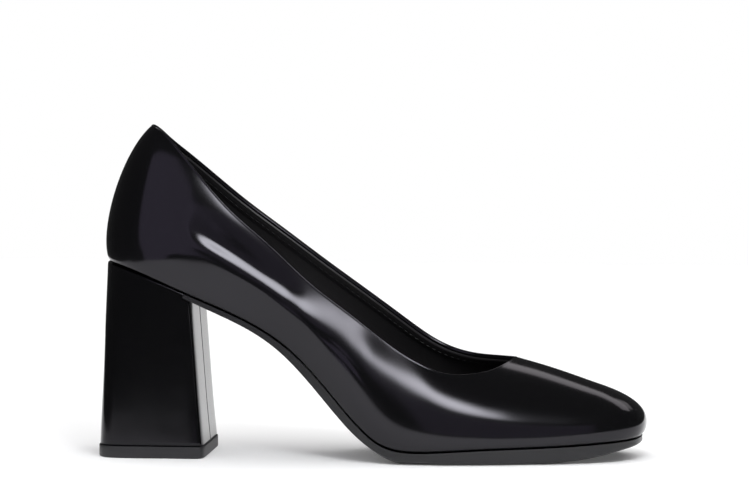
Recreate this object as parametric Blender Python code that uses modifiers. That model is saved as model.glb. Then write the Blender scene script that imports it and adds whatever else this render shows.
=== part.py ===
"""Black court shoe for the right foot, with a covered block heel.

Lengths are in millimetres and angles in degrees. X runs to the toe, Y to the inner side of
the foot and Z up, and the shoe stands on z = 0. The upper is worked out from its last: the
feather line, where the upper turns in under the foot, the ridge of the last, and in each
section a wall that swings from the feather line over to the ridge. The topline cuts it open.
"""

from collections import namedtuple

import bmesh
import bpy
import numpy as np

MM = 0.001

# Driving sizes
WALL = 1.6  # leather and lining of the upper
GAP = 0.3  # between pieces that are cemented together
MARGIN = 9.0  # lasting margin, turned in under the foot
FOLD = 2.6  # reach of the turn at the feather line
INSOLE = 2.0
INSOLE_INSET = 3.2
SOLE_INSET = 0.5
LIFT = 5.0  # thickness of the top lift
LIFT_PROUD = 0.4
LIFT_CHAMFER = 0.6
BREAST_TOP = -74.6  # front of the heel, at the seat and at the floor
BREAST_FLOOR = -69.6
TONGUE = 3.5  # the sole runs this far back under the heel's front edge
THROAT_X = 58.4
THROAT_Z = 41.7
SPINE_BACK = -84.0  # the sections stand on a spine between these two places
SPINE_TOE = 92.0
HEEL_FAN = -104.0  # behind this place, and ahead of TOE_FAN, the sections fan out from one point
TOE_FAN = 106.0
FAN_EASE = 26.0  # length over which a fan gives way to sections side by side
ORIGIN = (-0.4, -0.6, 0.0)  # middle of the shoe's length and width, on the floor
SHARP = 40.0  # an edge that turns more than this is shaded as a hard edge
MERGE = 0.01  # points nearer than this are one point
SLIVER = 0.005

# The feather line: half-widths to the outer and inner side, and height
Feather = namedtuple("Feather", "x outer inner height")
FEATHER = [
    Feather(-112.2, 0.0, 0.0, 81.0),
    Feather(-108.6, 14.0, 14.0, 80.4),
    Feather(-100.0, 22.2, 22.2, 78.3),
    Feather(-86.0, 26.0, 25.6, 73.2),
    Feather(-68.0, 26.4, 24.6, 65.5),
    Feather(-48.0, 25.2, 21.6, 56.1),
    Feather(-30.0, 25.8, 20.8, 43.3),
    Feather(-14.0, 29.4, 23.6, 26.4),
    Feather(-3.0, 33.6, 27.6, 14.8),
    Feather(5.0, 36.2, 31.0, 8.5),
    Feather(14.0, 38.4, 34.4, 5.6),
    Feather(26.0, 39.2, 37.2, 5.2),
    Feather(42.0, 38.0, 38.0, 6.0),
    Feather(60.0, 34.8, 36.0, 6.7),
    Feather(78.0, 30.2, 32.4, 7.2),
    Feather(94.0, 25.0, 27.6, 8.0),
    Feather(105.0, 19.2, 22.0, 8.7),
    Feather(111.4, 11.2, 13.8, 9.3),
    Feather(113.2, -1.0, 1.0, 9.6),
]

# The ridge of the last, above the opening only a guide: height, and how far it lies inwards
Ridge = namedtuple("Ridge", "x height inwards")
RIDGE = [
    Ridge(-84.0, 140.7, 0.0),
    Ridge(-60.0, 130.5, 0.0),
    Ridge(-36.0, 117.0, 0.5),
    Ridge(-12.0, 98.5, 1.5),
    Ridge(8.0, 78.0, 2.5),
    Ridge(25.0, 60.0, 3.2),
    Ridge(40.0, 48.6, 3.5),
    Ridge(THROAT_X, THROAT_Z, 3.5),
    Ridge(72.0, 38.0, 3.0),
    Ridge(92.0, 31.5, 1.5),
]

# The wall in each section: how far it leans out at the feather line, how high that lean
# carries, and how broad the crown is as a share of the half-width
Wall = namedtuple("Wall", "x lean_outer lean_inner rise_outer rise_inner crown")
WALLS = [
    Wall(-112.2, 21.0, 21.0, 17.4, 17.4, 0.57),
    Wall(-90.0, 17.0, 17.0, 25.0, 25.0, 0.64),
    Wall(-60.0, 17.0, 22.0, 33.0, 33.0, 0.70),
    Wall(-30.0, 20.0, 27.0, 35.0, 35.0, 0.74),
    Wall(0.0, 22.0, 26.0, 30.0, 31.0, 0.70),
    Wall(30.0, 22.0, 23.0, 20.0, 22.0, 0.62),
    Wall(60.0, 22.0, 22.0, 15.0, 16.0, 0.58),
    Wall(90.0, 24.0, 24.0, 13.0, 13.0, 0.57),
    Wall(113.2, 26.0, 26.0, 13.0, 13.0, 0.62),
]

# The topline: heights on the outer and inner side
Topline = namedtuple("Topline", "x outer inner")
TOPLINE = [
    Topline(-116.0, 154.0, 154.0),
    Topline(-93.8, 138.6, 138.6),
    Topline(-88.0, 136.2, 132.3),
    Topline(-82.0, 130.8, 126.9),
    Topline(-70.0, 117.6, 116.4),
    Topline(-58.0, 105.0, 106.2),
    Topline(-42.0, 91.4, 94.2),
    Topline(-24.0, 75.2, 80.8),
    Topline(-6.0, 61.4, 67.7),
    Topline(10.0, 49.3, 55.9),
    Topline(25.0, 40.4, 45.9),
    Topline(34.0, 37.5, 42.6),
    Topline(44.0, 37.2, 41.3),
    Topline(52.0, 38.7, 41.4),
    Topline(THROAT_X, THROAT_Z, THROAT_Z),
    Topline(70.0, 49.0, 45.0),
    Topline(116.0, 90.0, 90.0),
]

# The outsole's underside along its middle, flat where it would pass the floor, and how far
# its rim stands above that
Sole = namedtuple("Sole", "x bottom rim")
SOLE = [
    Sole(-114.0, 80.0, 0.2),
    Sole(-98.0, 76.2, 0.2),
    Sole(-82.0, 69.4, 0.2),
    Sole(-68.0, 62.9, 0.2),
    Sole(-54.0, 56.2, 0.3),
    Sole(-37.0, 44.8, 0.4),
    Sole(-20.0, 27.0, 0.5),
    Sole(-7.0, 13.0, 0.6),
    Sole(2.0, 5.8, 0.9),
    Sole(8.0, 2.2, 1.7),
    Sole(15.0, -0.1, 2.4),
    Sole(30.0, -0.9, 1.6),
    Sole(60.0, -0.9, 1.3),
    Sole(76.0, 0.0, 1.4),
    Sole(86.0, 0.9, 1.3),
    Sole(95.0, 2.3, 1.2),
    Sole(104.0, 4.4, 1.1),
    Sole(114.0, 6.6, 0.9),
]

# The rim of the outsole's underside: share of the way out, and share of the rim's rise
Rim = namedtuple("Rim", "out raised")
RIM = [Rim(1.0, 1.0), Rim(0.985, 0.55), Rim(0.93, 0.12), Rim(0.55, 0.0), Rim(0.0, 0.0)]

# The heel's plan from the seat down: places of its back and front, half-width, share of its
# length at which it is widest, and the power that squares its back
HeelRing = namedtuple("HeelRing", "depth back front half widest square")
HEEL = [
    HeelRing(0.00, -112.7, BREAST_TOP, 25.6, 0.65, 2.2),
    HeelRing(0.20, -113.0, -73.7, 25.2, 0.61, 2.8),
    HeelRing(0.45, -112.9, -72.5, 25.0, 0.57, 4.6),
    HeelRing(0.70, -113.5, -71.3, 25.1, 0.55, 5.4),
    HeelRing(0.90, -114.2, -70.2, 25.42, 0.55, 5.6),
    HeelRing(1.00, -114.5, BREAST_FLOOR, 25.68, 0.55, 5.6),
]
HEEL_FRONT_SQUARE = 13.0

# Counts along and across the surfaces
UPPER_STATIONS = 58
THROAT_STATIONS = 6  # extra ones on each side of the throat
THROAT_SPAN = 18.0
THROAT_CLEAR = 19.8
SHOULDER = 26.0  # the wall's rows are evenly spaced below this length of it, and above it
LOW_ROWS = 6
HIGH_ROWS = 6
HEEL_SIDES = 24
HEEL_RINGS = 9
FINE = 4000  # samples on a curve that is measured
WALL_SAMPLES = 400
SLOPE_STEP = 0.1


def column(table, name):
    """One named column of a table."""
    return np.array([getattr(row, name) for row in table])


def spline(knots, values, at):
    """Natural cubic spline through the knots, carried straight on past its ends."""
    count = len(knots)
    step = np.diff(knots)
    rate = np.diff(values) / step
    matrix = np.eye(count)
    change = np.zeros(count)
    for i in range(1, count - 1):
        matrix[i, i - 1 : i + 2] = step[i - 1], 2 * (step[i - 1] + step[i]), step[i]
        change[i] = 6 * (rate[i] - rate[i - 1])
    bend = np.linalg.solve(matrix, change)
    inside = np.clip(at, knots[0], knots[-1])
    i = np.clip(np.searchsorted(knots, inside) - 1, 0, count - 2)
    after = (inside - knots[i]) / step[i]
    before = 1 - after
    curved = (before**3 - before) * bend[i] + (after**3 - after) * bend[i + 1]
    first = rate[0] - step[0] * bend[1] / 6
    last = rate[-1] + step[-1] * bend[-2] / 6
    past = np.minimum(at - knots[0], 0) * first + np.maximum(at - knots[-1], 0) * last
    return before * values[i] + after * values[i + 1] + curved * step[i] ** 2 / 6 + past


def along(table, name, at):
    """A table's column, read smoothly at places along x."""
    return spline(column(table, "x"), column(table, name), at)


def feather_height(x):
    """Height of the feather line, and so of the bottom of the last."""
    return along(FEATHER, "height", x)


def ridge_height(x):
    """Height of the last's ridge."""
    return along(RIDGE, "height", x)


def slope(curve, x):
    """How steeply a curve climbs at x."""
    return (curve(x + SLOPE_STEP) - curve(x - SLOPE_STEP)) / (2 * SLOPE_STEP)


def steepness(x):
    """How much a thickness grows when it is measured straight up instead of square to the sole."""
    return np.sqrt(1 + slope(feather_height, x) ** 2)


def feather_outline():
    """The closed feather line in plan: (x, y) of its outer and inner half, each from heel to toe."""
    x = column(FEATHER, "x")
    outer = np.stack([x, -column(FEATHER, "outer")], 1)
    inner = np.stack([x, column(FEATHER, "inner")], 1)
    ring = np.concatenate([outer, inner[-2:0:-1]])
    lap = len(ring)
    laps = np.concatenate([ring, ring, ring])
    run = np.concatenate([[0], np.cumsum(np.hypot(*np.diff(laps, axis=0).T))])
    place = np.linspace(run[lap], run[2 * lap], FINE, endpoint=False)
    curve = np.stack([spline(run, laps[:, 0], place), spline(run, laps[:, 1], place)], 1)
    curve = np.roll(curve, -np.argmin(curve[:, 0]), axis=0)
    toe = np.argmax(curve[:, 0])
    outer_half = curve[: toe + 1]
    inner_half = np.concatenate([curve[:1], curve[: toe - 1 : -1]])
    return {"outer": outer_half, "inner": inner_half}


OUTLINE = feather_outline()
BACK_X = OUTLINE["outer"][0, 0]
TOE_X = OUTLINE["outer"][-1, 0]


def eased(distance):
    """Zero before 0, then a smooth start, then as steep as the distance itself."""
    share = np.clip(distance / FAN_EASE, 0, 1)
    return FAN_EASE * (share**3 - share**4 / 2) + np.maximum(distance - FAN_EASE, 0)


def spine_x(x):
    """The spine point of the section at x: still in both fans, and moving along between them."""
    slowing = TOE_FAN - FAN_EASE
    pace = (SPINE_TOE - SPINE_BACK) / (slowing - HEEL_FAN)
    return SPINE_BACK + pace * (eased(x - HEEL_FAN) - eased(x - slowing))


def places(count, throat_count):
    """Stations from heel to toe, closer together at both ends and about the throat."""
    turn = np.linspace(0, np.pi, count)
    x = (BACK_X + TOE_X) / 2 - (TOE_X - BACK_X) / 2 * np.cos(turn)
    fine = np.linspace(BACK_X, TOE_X, FINE)
    throat = np.interp(THROAT_X, spine_x(fine), fine)
    near = THROAT_SPAN * np.linspace(0, 1, throat_count + 1) ** 2
    close = np.concatenate([throat - near[:0:-1], throat + near])
    return np.sort(np.concatenate([x[np.abs(x - throat) > THROAT_CLEAR], close]))


STATIONS = places(UPPER_STATIONS, THROAT_STATIONS)


def rays(x, side):
    """Each section's plane: its spine point, the direction out to the feather line, and the reach."""
    half = OUTLINE[side]
    edge = np.stack([x, np.interp(x, half[:, 0], half[:, 1])], 1)
    middle = spine_x(x)
    spine = np.stack([middle, along(RIDGE, "inwards", middle)], 1)
    reach = np.hypot(*(edge - spine).T)
    return spine, (edge - spine) / reach[:, None], reach


def wall_curve(x, side, share):
    """Bezier from the feather line (share 0) to the ridge (share 1) for each section."""
    spine, out, reach = rays(x, side)
    lean = np.radians(along(WALLS, "lean_" + side, x))
    rise = along(WALLS, "rise_" + side, x)
    crown = along(WALLS, "crown", x) * reach
    foot = feather_height(x)
    top = ridge_height(spine[:, 0])
    fall = slope(ridge_height, spine[:, 0]) * out[:, 0]
    away = np.stack([reach, reach + rise * np.sin(lean), crown, 0 * reach], 1)
    up = np.stack([foot, foot + rise * np.cos(lean), top + crown * fall, top], 1)
    rest = 1 - share
    weights = np.stack([rest**3, 3 * rest**2 * share, 3 * rest * share**2, share**3])
    away = away @ weights
    plan = spine[:, None] + away[:, :, None] * out[:, None]
    return np.concatenate([plan, (up @ weights)[:, :, None]], 2)


def upper_sections(x, side, low_rows, high_rows):
    """Rows of points from the inner end of the lasting margin up to the topline or the ridge."""
    curve = wall_curve(x, side, np.linspace(0, 1, WALL_SAMPLES))
    over = curve[:, :, 2] - along(TOPLINE, side, curve[:, :, 0])
    steps = np.linalg.norm(np.diff(curve, axis=1), axis=2)
    length = np.concatenate([0 * x[:, None], np.cumsum(steps, axis=1)], 1)
    spine, out, reach = rays(x, side)
    inwards = np.array([MARGIN, (MARGIN + FOLD) / 2, FOLD])
    sections = []
    for i in range(len(x)):
        full = length[i, -1]
        crossed = np.flatnonzero(over[i] > 0)
        if spine[i, 0] < THROAT_X - MERGE and len(crossed):
            k = crossed[0]
            part = -over[i, k - 1] / (over[i, k] - over[i, k - 1])
            full = length[i, k - 1] + part * (length[i, k] - length[i, k - 1])
        low = np.linspace(FOLD, SHOULDER, low_rows)
        high = np.linspace(SHOULDER, full, high_rows + 1)
        run = np.concatenate([low, high[1:]])
        wall = np.stack([np.interp(run, length[i], curve[i, :, axis]) for axis in range(3)], 1)
        margin = spine[i] + (reach[i] - inwards[:, None]) * out[i]
        margin = np.column_stack([margin, feather_height(margin[:, 0])])
        turn = (margin[-1] + 2 * curve[i, 0] + wall[0]) / 4
        sections.append(np.concatenate([margin, [turn], wall]))
    return np.array(sections)


def grid_object(name, outer, inner, material, shoe):
    """A mesh from a grid of points for each side of the foot, joined where their points meet."""
    mesh = bmesh.new()
    for points, order in ((outer, 1), (inner, -1)):
        stations, rows = points.shape[:2]
        verts = [[mesh.verts.new((point - ORIGIN) * MM) for point in row] for row in points]
        for i in range(stations - 1):
            for j in range(rows - 1):
                here, ahead = verts[i], verts[i + 1]
                mesh.faces.new([here[j], ahead[j], ahead[j + 1], here[j + 1]][::order])
    return finished(name, mesh, material, shoe)


def finished(name, mesh, material, shoe):
    """The mesh, with its points joined, as a smooth shaded object in the shoe's collection."""
    bmesh.ops.remove_doubles(mesh, verts=mesh.verts, dist=MERGE * MM)
    bmesh.ops.dissolve_degenerate(mesh, edges=mesh.edges, dist=SLIVER * MM)
    data = bpy.data.meshes.new(name)
    mesh.to_mesh(data)
    mesh.free()
    data.materials.append(material)
    data.shade_smooth()
    data.set_sharp_from_angle(angle=np.radians(SHARP))
    piece = bpy.data.objects.new(name, data)
    shoe.objects.link(piece)
    return piece


def finish(name, colour, roughness):
    """A plain coloured material."""
    material = bpy.data.materials.new(name)
    material.use_nodes = True
    shader = material.node_tree.nodes["Principled BSDF"]
    shader.inputs["Base Color"].default_value = (*colour, 1.0)
    shader.inputs["Roughness"].default_value = roughness
    shader.inputs["Metallic"].default_value = 0.0
    return material


def make_upper(shoe):
    """The hollow upper: an open sheet from the lasting margin to the topline, given its wall."""
    outer = upper_sections(STATIONS, "outer", LOW_ROWS, HIGH_ROWS)
    inner = upper_sections(STATIONS, "inner", LOW_ROWS, HIGH_ROWS)
    leather = finish("polished_leather", (0.008, 0.008, 0.009), 0.16)
    upper = grid_object("upper", outer, inner, leather, shoe)
    wall = upper.modifiers.new("wall", "SOLIDIFY")
    wall.thickness = WALL * MM
    wall.offset = -1.0
    wall.use_even_offset = True
    wall.use_quality_normals = True
    return upper


def layer(x, side, inset, shares, heights):
    """Half of a flat piece: points at shares of the reach, at the heights that x gives them."""
    spine, out, reach = rays(x, side)
    across = spine[:, None] + ((reach - inset)[:, None] * shares)[:, :, None] * out[:, None]
    up = heights(across[:, :, 0])
    return np.concatenate([across, up[:, :, None]], 2)


def make_insole(shoe):
    """The footbed, on the lasting margin."""
    under = WALL + GAP
    shares = np.array([0.0, 0.6, 1.0, 1.0, 0.6, 0.0])
    lifts = np.array([under] * 3 + [under + INSOLE] * 3)

    def heights(x):
        return feather_height(x) + lifts * steepness(x)

    outer = layer(STATIONS, "outer", INSOLE_INSET, shares, heights)
    inner = layer(STATIONS, "inner", INSOLE_INSET, shares, heights)
    return grid_object("insole", outer, inner, finish("footbed", (0.012, 0.012, 0.012), 0.6), shoe)


def sole_bottom(x):
    """Height of the outsole's underside along its middle."""
    return np.maximum(along(SOLE, "bottom", x), 0.0)


def tongue_frame():
    """The lower back corner of the sole's tongue, and the sole's slope there."""
    x = BREAST_TOP - TONGUE
    low = sole_bottom(np.array([x, BREAST_TOP]))
    tilt = np.arctan2(low[1] - low[0], TONGUE)
    return np.array([x, 0.0, low[0]]), tilt


def make_outsole(shoe):
    """The sole from the toe to a tongue under the heel's front edge, flat where it meets the floor."""
    upside = np.array([0.0, 0.55, 1.0])
    shares = np.concatenate([upside, column(RIM, "out")])
    raised = np.concatenate([0 * upside, column(RIM, "raised")])
    below = np.arange(len(shares)) >= len(upside)

    def heights(x):
        top = feather_height(x) - GAP * steepness(x)
        under = sole_bottom(x) + raised * along(SOLE, "rim", x)
        return np.where(below, under, top)

    outer = layer(STATIONS, "outer", SOLE_INSET, shares, heights)
    inner = layer(STATIONS, "inner", SOLE_INSET, shares, heights)
    rubber = finish("sole_rubber", (0.014, 0.014, 0.015), 0.45)
    outsole = grid_object("outsole", outer, inner, rubber, shoe)
    corner, tilt = tongue_frame()
    cut_square(outsole.data, corner, np.array([np.cos(tilt), 0.0, np.sin(tilt)]))
    return outsole


def cut_square(data, point, normal):
    """Takes away what lies behind a plane and closes the cut with one face."""
    mesh = bmesh.new()
    mesh.from_mesh(data)
    parts = mesh.verts[:] + mesh.edges[:] + mesh.faces[:]
    cut = bmesh.ops.bisect_plane(
        mesh, geom=parts, plane_co=(point - ORIGIN) * MM, plane_no=normal, clear_inner=True
    )
    rim = [edge for edge in cut["geom_cut"] if isinstance(edge, bmesh.types.BMEdge)]
    bmesh.ops.contextual_create(mesh, geom=rim)
    bmesh.ops.recalc_face_normals(mesh, faces=mesh.faces)
    mesh.to_mesh(data)
    mesh.free()


def heel_plan(back, front, half, widest, square):
    """Half a heel ring, from the middle of the back round to the middle of the front."""
    widest = back + widest * (front - back)
    turn = np.linspace(0, np.pi, HEEL_SIDES + 1)
    power = np.where(turn <= np.pi / 2, square, HEEL_FRONT_SQUARE)
    length = np.where(turn <= np.pi / 2, widest - back, front - widest)
    ahead = -np.cos(turn)
    aside = np.round(np.sin(turn), 9)
    x = widest + length * np.sign(ahead) * np.abs(ahead) ** (2 / power)
    y = half * aside ** (2 / power)
    return x, y


def make_heel(shoe, cutters):
    """The covered block: rings from the slanting seat down to the level foot of the heel."""
    depths = np.linspace(0, 1, HEEL_RINGS)
    known = column(HEEL, "depth")
    rings = []
    seat = None
    for depth in depths:
        x, y = heel_plan(*[spline(known, column(HEEL, name), depth) for name in HeelRing._fields[1:]])
        if seat is None:
            seat = feather_height(x) - GAP * steepness(x)
        z = seat + (LIFT + GAP - seat) * depth
        rings.append(np.stack([x, y, z], 1))
    heel = capped_rings("heel", rings, finish("covered_heel", (0.008, 0.008, 0.009), 0.2), shoe)
    rebate = heel.modifiers.new("rebate", "BOOLEAN")
    rebate.object = tongue_cutter(cutters)
    return heel


def tongue_cutter(cutters):
    """A box over the heel's front edge that makes room for the sole's tongue."""
    corner, tilt = tongue_frame()
    length = 4 * TONGUE
    middle = (length / 2 - GAP) * MM
    mesh = bmesh.new()
    bmesh.ops.create_cube(mesh, size=MM)
    bmesh.ops.scale(mesh, vec=(length, 3 * HEEL[0].half, length), verts=mesh.verts)
    bmesh.ops.translate(mesh, vec=(middle, 0, middle), verts=mesh.verts)
    data = bpy.data.meshes.new("tongue_cutter")
    mesh.to_mesh(data)
    mesh.free()
    cutter = bpy.data.objects.new("tongue_cutter", data)
    cutter.location = (corner - ORIGIN) * MM
    cutter.rotation_euler = (0, -tilt, 0)
    cutter.display_type = "WIRE"
    cutter.hide_render = True
    cutters.objects.link(cutter)
    return cutter


def capped_rings(name, rings, material, shoe):
    """A closed solid from half rings, mirrored in y, its top and bottom drawn straight across."""
    mesh = bmesh.new()
    sides = {}
    for sign in (-1, 1):
        turned = np.array([1, sign, 1])
        sides[sign] = [
            [mesh.verts.new((point * turned - ORIGIN) * MM) for point in ring] for ring in rings
        ]
    for sign, loops in sides.items():
        for upper, lower in zip(loops, loops[1:]):
            for k in range(len(upper) - 1):
                corners = [upper[k], lower[k], lower[k + 1], upper[k + 1]]
                mesh.faces.new(corners[:: -sign])
    for level, order in ((0, 1), (-1, -1)):
        left, right = sides[-1][level], sides[1][level]
        for k in range(len(left) - 1):
            mesh.faces.new([left[k], left[k + 1], right[k + 1], right[k]][::order])
    return finished(name, mesh, material, shoe)


def make_top_lift(shoe):
    """The wear piece: the heel's foot, a little proud of it, with its lower edge taken off."""
    foot = HEEL[-1]
    edge = [(LIFT, LIFT_PROUD), (LIFT_CHAMFER, LIFT_PROUD), (0.0, LIFT_PROUD - LIFT_CHAMFER)]
    rings = []
    for z, proud in edge:
        back, front, half = foot.back - proud, foot.front + proud, foot.half + proud
        x, y = heel_plan(back, front, half, foot.widest, foot.square)
        rings.append(np.stack([x, y, 0 * x + z], 1))
    return capped_rings("top_lift", rings, finish("lift_rubber", (0.03, 0.03, 0.032), 0.6), shoe)


def main():
    for old in list(bpy.data.objects):
        bpy.data.objects.remove(old)
    shoe = bpy.data.collections.new("court_shoe")
    bpy.context.scene.collection.children.link(shoe)
    cutters = bpy.data.collections.new("cutters")
    bpy.context.scene.collection.children.link(cutters)
    make_upper(shoe)
    make_insole(shoe)
    make_outsole(shoe)
    make_heel(shoe, cutters)
    make_top_lift(shoe)


if __name__ == "__main__":
    main()
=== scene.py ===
"""Looks of a black high heel for the right foot: polished upper, lining, covered heel and sole.

Lengths in the tables are millimetres, X to the toe, Y to the inner side of the foot, Z up.
"""

from collections import namedtuple

import bmesh
import bpy
import numpy as np
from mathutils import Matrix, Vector


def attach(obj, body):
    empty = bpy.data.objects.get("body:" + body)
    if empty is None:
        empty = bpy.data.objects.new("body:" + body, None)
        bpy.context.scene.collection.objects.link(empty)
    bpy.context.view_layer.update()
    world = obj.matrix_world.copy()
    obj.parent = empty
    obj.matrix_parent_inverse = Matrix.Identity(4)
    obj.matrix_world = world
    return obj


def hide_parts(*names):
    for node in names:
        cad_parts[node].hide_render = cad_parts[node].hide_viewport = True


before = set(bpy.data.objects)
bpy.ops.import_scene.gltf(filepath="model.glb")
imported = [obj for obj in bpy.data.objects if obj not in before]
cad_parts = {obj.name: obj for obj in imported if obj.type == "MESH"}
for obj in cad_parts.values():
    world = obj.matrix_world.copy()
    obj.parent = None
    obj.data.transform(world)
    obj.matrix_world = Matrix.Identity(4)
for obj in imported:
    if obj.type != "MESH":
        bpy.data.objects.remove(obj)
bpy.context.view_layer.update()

bl_info = {
    "name": "High heel",
    "version": (1, 0, 0),
    "blender": (4, 5, 0),
    "location": "View3D > Sidebar > High heel",
    "description": "Builds the visible surfaces of a black leather high heel",
    "category": "Object",
}

MM = 0.001
ORIGIN = np.array([-0.4, -0.6, 0.0])
PHOTO = (749, 500)

# Sizes of the last and of the wall, as the solids have them
GAP = 0.3
LIP_LEAN = np.radians(25)  # how far the folded edge's lip leans out
LIP_FLAT = 0.875  # radius of the lip, and of the round over it, as shares of the wall
LIP_TIGHT = 0.25
MARGIN = 9.0
FOLD = 2.6
INSOLE_UNDER = 1.9
INSOLE_TOP = 3.9
SOLE_INSET = 0.5
LIFT = 5.0
BREAST_TOP = -74.6
BREAST_FLOOR = -69.6
TONGUE = 3.5
SPINE_BACK = -84.0
SPINE_TOE = 92.0
HEEL_FAN = -104.0
TOE_FAN = 106.0
FAN_EASE = 26.0
HEEL_FRONT_SQUARE = 13.0

Feather = namedtuple("Feather", "x outer inner height")
FEATHER = [
    Feather(-112.2, 0.0, 0.0, 81.0),
    Feather(-108.6, 14.0, 14.0, 80.4),
    Feather(-100.0, 22.2, 22.2, 78.3),
    Feather(-86.0, 26.0, 25.6, 73.2),
    Feather(-68.0, 26.4, 24.6, 65.5),
    Feather(-48.0, 25.2, 21.6, 56.1),
    Feather(-30.0, 25.8, 20.8, 43.3),
    Feather(-14.0, 29.4, 23.6, 26.4),
    Feather(-3.0, 33.6, 27.6, 14.8),
    Feather(5.0, 36.2, 31.0, 8.5),
    Feather(14.0, 38.4, 34.4, 5.6),
    Feather(26.0, 39.2, 37.2, 5.2),
    Feather(42.0, 38.0, 38.0, 6.0),
    Feather(60.0, 34.8, 36.0, 6.7),
    Feather(78.0, 30.2, 32.4, 7.2),
    Feather(94.0, 25.0, 27.6, 8.0),
    Feather(105.0, 19.2, 22.0, 8.7),
    Feather(111.4, 11.2, 13.8, 9.3),
    Feather(113.2, -1.0, 1.0, 9.6),
]

Ridge = namedtuple("Ridge", "x height inwards")
RIDGE = [
    Ridge(-84.0, 140.7, 0.0),
    Ridge(-60.0, 130.5, 0.0),
    Ridge(-36.0, 117.0, 0.5),
    Ridge(-12.0, 98.5, 1.5),
    Ridge(8.0, 78.0, 2.5),
    Ridge(25.0, 60.0, 3.2),
    Ridge(40.0, 48.6, 3.5),
    Ridge(58.4, 41.7, 3.5),
    Ridge(72.0, 38.0, 3.0),
    Ridge(92.0, 31.5, 1.5),
]

Wall = namedtuple("Wall", "x lean_outer lean_inner rise_outer rise_inner crown")
WALLS = [
    Wall(-112.2, 21.0, 21.0, 17.4, 17.4, 0.57),
    Wall(-90.0, 17.0, 17.0, 25.0, 25.0, 0.64),
    Wall(-60.0, 17.0, 22.0, 33.0, 33.0, 0.70),
    Wall(-30.0, 20.0, 27.0, 35.0, 35.0, 0.74),
    Wall(0.0, 17.5, 26.0, 30.0, 31.0, 0.70),
    Wall(30.0, 14.5, 17.0, 20.0, 22.0, 0.62),
    Wall(60.0, 13.5, 17.0, 15.0, 16.0, 0.58),
    Wall(90.0, 24.0, 24.0, 13.0, 13.0, 0.57),
    Wall(113.2, 26.0, 26.0, 13.0, 13.0, 0.62),
]

Topline = namedtuple("Topline", "x outer inner")
TOPLINE = [
    Topline(-116.0, 154.0, 154.0),
    Topline(-93.8, 138.6, 138.6),
    Topline(-88.0, 136.2, 132.3),
    Topline(-82.0, 130.8, 126.9),
    Topline(-70.0, 117.6, 116.4),
    Topline(-58.0, 105.0, 106.2),
    Topline(-42.0, 91.4, 94.2),
    Topline(-24.0, 75.2, 80.8),
    Topline(-6.0, 62.2, 67.7),
    Topline(10.0, 50.5, 55.9),
    Topline(25.0, 40.8, 45.9),
    Topline(34.0, 37.5, 42.6),
    Topline(44.0, 37.2, 41.3),
    Topline(52.0, 38.7, 41.4),
    Topline(58.4, 41.7, 41.7),
    Topline(70.0, 49.0, 45.0),
    Topline(116.0, 90.0, 90.0),
]

Sole = namedtuple("Sole", "x bottom rim")
SOLE = [
    Sole(-114.0, 80.0, 0.2),
    Sole(-98.0, 76.2, 0.2),
    Sole(-82.0, 69.4, 0.2),
    Sole(-68.0, 62.9, 0.2),
    Sole(-54.0, 56.2, 0.3),
    Sole(-37.0, 44.8, 0.4),
    Sole(-20.0, 27.0, 0.5),
    Sole(-7.0, 13.0, 0.6),
    Sole(2.0, 5.8, 0.9),
    Sole(8.0, 2.2, 1.7),
    Sole(15.0, -0.1, 2.4),
    Sole(30.0, -0.9, 1.6),
    Sole(60.0, -0.9, 1.3),
    Sole(76.0, 0.0, 1.4),
    Sole(86.0, 0.9, 1.3),
    Sole(95.0, 2.3, 1.2),
    Sole(104.0, 4.4, 1.1),
    Sole(114.0, 6.6, 0.9),
]

HeelRing = namedtuple("HeelRing", "depth back front half widest square")
HEEL = [
    HeelRing(0.00, -112.7, BREAST_TOP, 25.6, 0.65, 2.2),
    HeelRing(0.20, -113.0, -73.7, 25.2, 0.61, 2.8),
    HeelRing(0.45, -112.9, -72.5, 25.0, 0.57, 4.6),
    HeelRing(0.70, -113.5, -71.3, 25.1, 0.55, 5.4),
    HeelRing(0.90, -114.2, -70.2, 25.42, 0.55, 5.6),
    HeelRing(1.00, -114.5, BREAST_FLOOR, 25.68, 0.55, 5.6),
]

# Soft folds of the outer side: the line of each in the side view, how far it stands out there (a
# hollow is below 0), and its widths under and over the line. An empty shoe swells along a line from
# the stiff heel counter down to the ball joint, has a crease over that line in the waist, and is drawn
# in at its topline
Fold = namedtuple("Fold", "x z out under over")
SWELLING = [
    Fold(-100.0, 80.5, 0.0, 5.0, 6.0),
    Fold(-95.0, 82.2, 0.25, 5.0, 6.5),
    Fold(-90.0, 84.2, 0.5, 5.5, 7.0),
    Fold(-84.0, 86.6, 0.75, 6.5, 7.0),
    Fold(-78.0, 88.2, 0.95, 7.5, 6.5),
    Fold(-72.0, 88.4, 1.0, 7.5, 5.2),
    Fold(-66.0, 86.4, 1.05, 6.2, 4.3),
    Fold(-57.0, 80.7, 1.1, 5.0, 4.2),
    Fold(-49.0, 75.6, 1.2, 4.7, 4.2),
    Fold(-40.0, 69.8, 1.5, 5.5, 4.2),
    Fold(-32.0, 63.9, 1.8, 6.5, 4.6),
    Fold(-23.0, 57.5, 1.6, 7.0, 5.2),
    Fold(-15.0, 50.3, 1.0, 7.5, 6.3),
    Fold(-6.0, 42.0, 0.75, 7.5, 7.0),
    Fold(3.0, 35.0, 0.4, 8.0, 8.0),
    Fold(12.0, 30.5, 0.05, 10.0, 11.0),
    Fold(20.0, 28.0, 0.15, 13.0, 15.0),
    Fold(30.0, 26.5, 0.45, 14.0, 16.0),
    Fold(41.0, 25.0, 0.68, 14.0, 16.0),
    Fold(52.0, 23.0, 0.66, 14.0, 16.0),
    Fold(62.0, 21.3, 0.46, 14.0, 16.0),
    Fold(72.0, 20.0, 0.2, 14.0, 16.0),
    Fold(82.0, 19.0, 0.03, 14.0, 16.0),
    Fold(90.0, 18.3, 0.0, 14.0, 16.0),
]
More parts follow.
